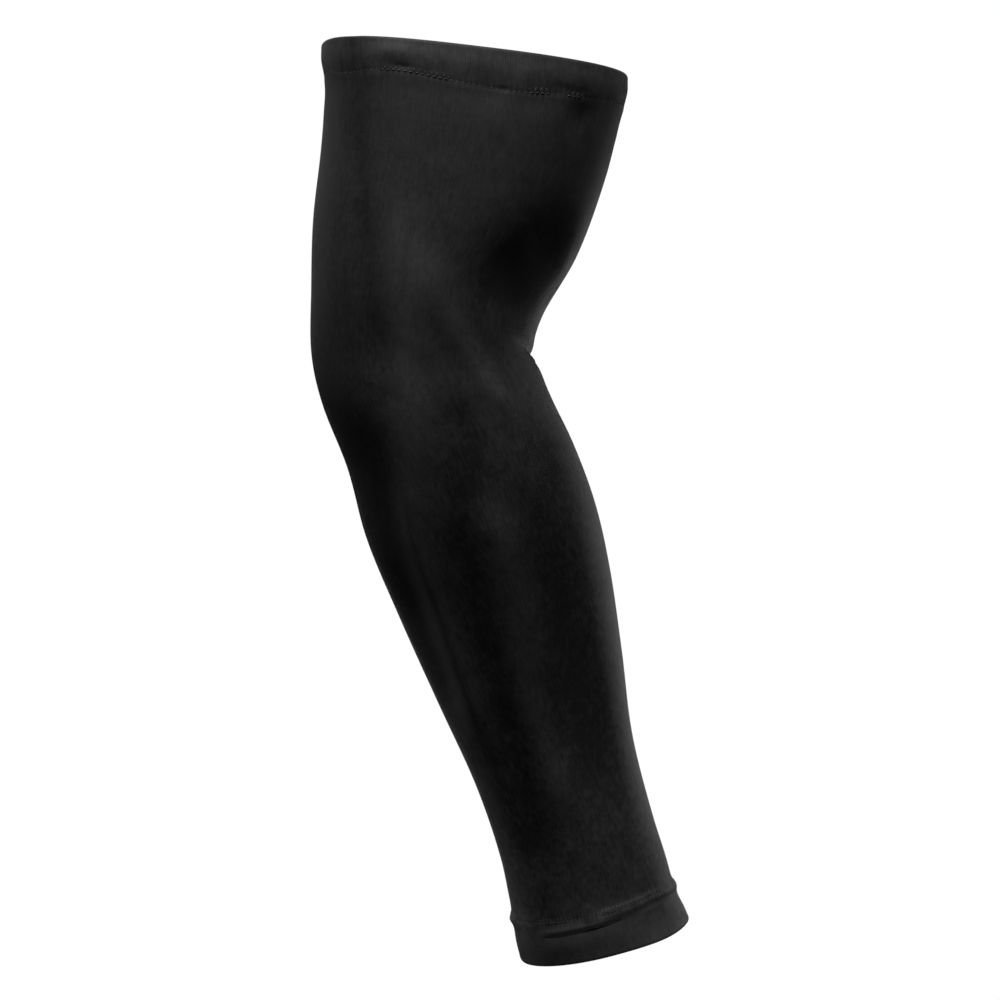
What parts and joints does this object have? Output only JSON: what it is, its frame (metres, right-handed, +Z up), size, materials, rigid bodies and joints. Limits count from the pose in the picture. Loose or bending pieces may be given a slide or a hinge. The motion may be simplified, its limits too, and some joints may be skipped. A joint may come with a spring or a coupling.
{
  "type": "arm sleeve",
  "caption": "Stretch-knit arm sleeve in its worn form, a thin open tube bent at the elbow, with a turned and stitched hem at the upper arm and at the wrist.",
  "frame": {"origin": "middle of the upper opening, where the upper arm goes in", "axes": "+Z up the arm, +X forward, the way the elbow bends, +Y inward, towards the wearer's body"},
  "size_m": [0.1622, 0.1243, 0.39],
  "materials": {
    "knit": "matte fine rib of black nylon and elastane, with a soft sheen at its edges",
    "hem_knit": "the same black knit turned double and stitched down with black thread"
  },
  "bodies": {
    "root": {"sleeve_body": "knit", "upper_hem": "hem_knit", "wrist_hem": "hem_knit"}
  },
  "joints": []
}
